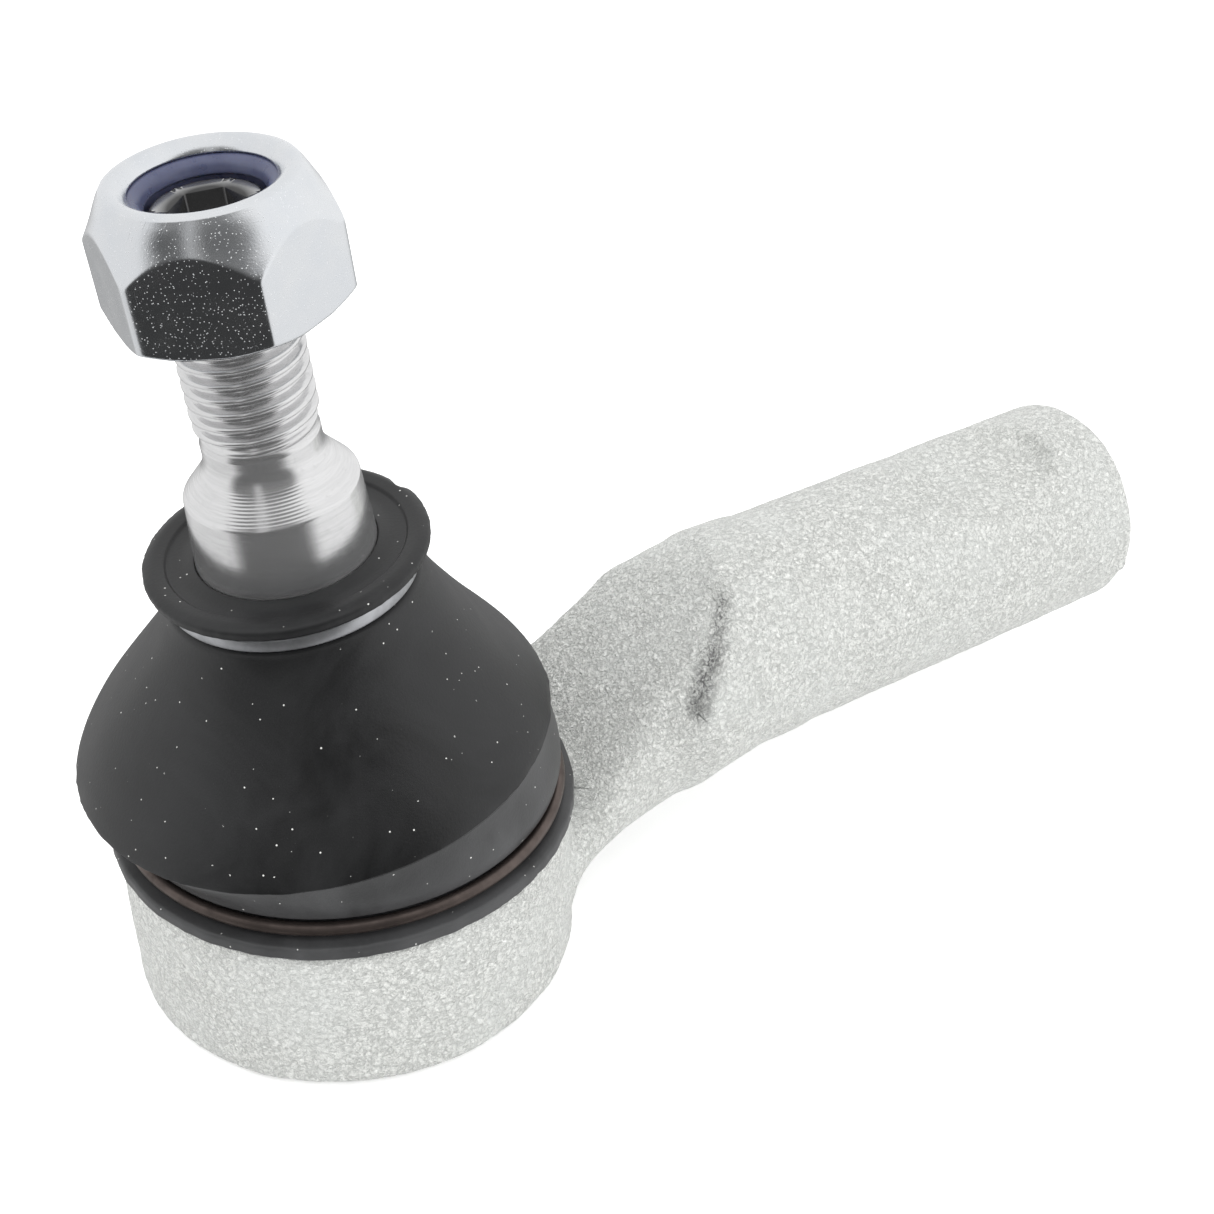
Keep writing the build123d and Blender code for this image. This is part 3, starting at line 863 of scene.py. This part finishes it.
def studio():
    """Even white surroundings with three soft lamps, which show in no reflection."""
    world = bpy.data.worlds.new("studio")
    bpy.context.scene.world = world
    world.use_nodes = True
    background = world.node_tree.nodes["Background"]
    background.inputs["Color"].default_value = (1, 1, 1, 1)
    background.inputs["Strength"].default_value = 1.0
    for name, place, power, size in (
            ("top_light", (-0.1, 0.1, 0.95), 4.5, 1.0), ("left_light", (-0.8, 0.15, 0.45), 1.2, 0.7),
            ("right_light", (0.45, -0.75, 0.45), 3.2, 0.6)):
        lamp = bpy.data.lights.new(name, "AREA")
        lamp.energy, lamp.size = power, size
        made = bpy.data.objects.new(name, lamp)
        made.location = place
        made.visible_glossy = False
        aim = Vector((0.02, 0, 0.02)) - made.location
        made.rotation_euler = aim.to_track_quat("-Z", "Y").to_euler()
        bpy.context.collection.objects.link(made)


def dome_material():
    """Glow of the mirror dome: bright sides, dark behind the viewer and, low down, opposite them."""
    made = bpy.data.materials.new("mirror_dome")
    made.use_nodes = True
    nodes, links = made.node_tree.nodes, made.node_tree.links
    nodes.clear()
    source = nodes.new("ShaderNodeTexCoord")
    unit = nodes.new("ShaderNodeVectorMath")
    unit.operation = "NORMALIZE"
    links.new(source.outputs["Object"], unit.inputs[0])

    def facing(direction):
        node = nodes.new("ShaderNodeVectorMath")
        node.operation = "DOT_PRODUCT"
        node.inputs[1].default_value = direction
        links.new(unit.outputs["Vector"], node.inputs[0])
        return node.outputs["Value"]

    front, side, height = facing(toward_viewer), facing(beside_viewer), facing((0, 0, 1))
    level = ramp(made, side, -1.0, 0.9, 0.92, 1.06)
    falling = ramp(made, height, -0.75, -0.2, 0.72, 1.0)
    level = sum_of(made, level, falling, "MULTIPLY")
    dark_front = ramp(made, front, 0.46, 0.66, 0.0, 1.0)
    gap_start = ramp(made, side, -0.34, -0.26, 0.0, 0.5)
    gap_end = ramp(made, side, -0.14, -0.06, 0.0, 0.5)
    gap = sum_of(made, gap_start, gap_end, "SUBTRACT")
    gap = sum_of(made, gap, ramp(made, height, -0.1, 0.2, 0.0, 1.0), "MULTIPLY")
    dark_front = sum_of(made, dark_front, sum_of(made, 1.0, gap, "SUBTRACT"), "MULTIPLY")
    dark_front = sum_of(made, dark_front, ramp(made, height, -0.1, 0.85, 0.94, 0.75), "MULTIPLY")
    opposite = ramp(made, front, -0.5, -0.85, 0.0, 0.7)
    low_down = ramp(made, height, -0.1, -0.4, 0.0, 1.0)
    dark_back = sum_of(made, opposite, low_down, "MULTIPLY")
    light_front, light_back = (sum_of(made, 1.0, dark, "SUBTRACT") for dark in (dark_front, dark_back))
    kept = sum_of(made, light_front, light_back, "MULTIPLY")
    glow = nodes.new("ShaderNodeEmission")
    links.new(sum_of(made, level, kept, "MULTIPLY"), glow.inputs["Strength"])
    out = nodes.new("ShaderNodeOutputMaterial")
    links.new(glow.outputs["Emission"], out.inputs["Surface"])
    return made


def mirror_dome():
    """Large sphere around the set, seen only in reflections."""
    dome_r, rows, columns = 3500.0, 24, 48
    angles = around(columns)[None, :]
    rise = np.linspace(-pi / 2 + 0.02, pi / 2 - 0.02, rows)[:, None]
    grid = dome_r * np.stack([np.cos(rise) * np.cos(angles), np.cos(rise) * np.sin(angles),
                              np.sin(rise) + 0 * angles], -1)
    made = piece("mirror_dome", *capped(grid), dome_material())
    made.visible_camera = made.visible_diffuse = made.visible_shadow = made.visible_transmission = False


def camera():
    """Camera at the photographed angle."""
    azimuth, elevation, roll = radians(-33.64), radians(34.28), radians(-0.8)
    back = Vector((sin(azimuth) * cos(elevation), -cos(azimuth) * cos(elevation), sin(elevation)))
    right = Vector((cos(azimuth), sin(azimuth), 0))
    up = back.cross(right)
    lens = bpy.data.cameras.new("camera")
    lens.lens, lens.sensor_width = 58.2, 36.0
    lens.clip_start, lens.clip_end = 0.01, 20
    made = bpy.data.objects.new("camera", lens)
    turn = Matrix.Rotation(roll, 4, back)
    axes = Matrix((right, up, back)).transposed().to_4x4()
    made.matrix_world = Matrix.Translation(Vector((-55.45, -126.03, 128.03)) * MM) @ turn @ axes
    bpy.context.collection.objects.link(made)
    bpy.context.scene.camera = made


floor()
mirror_dome()
studio()
camera()
bpy.context.scene.view_settings.view_transform = "Standard"
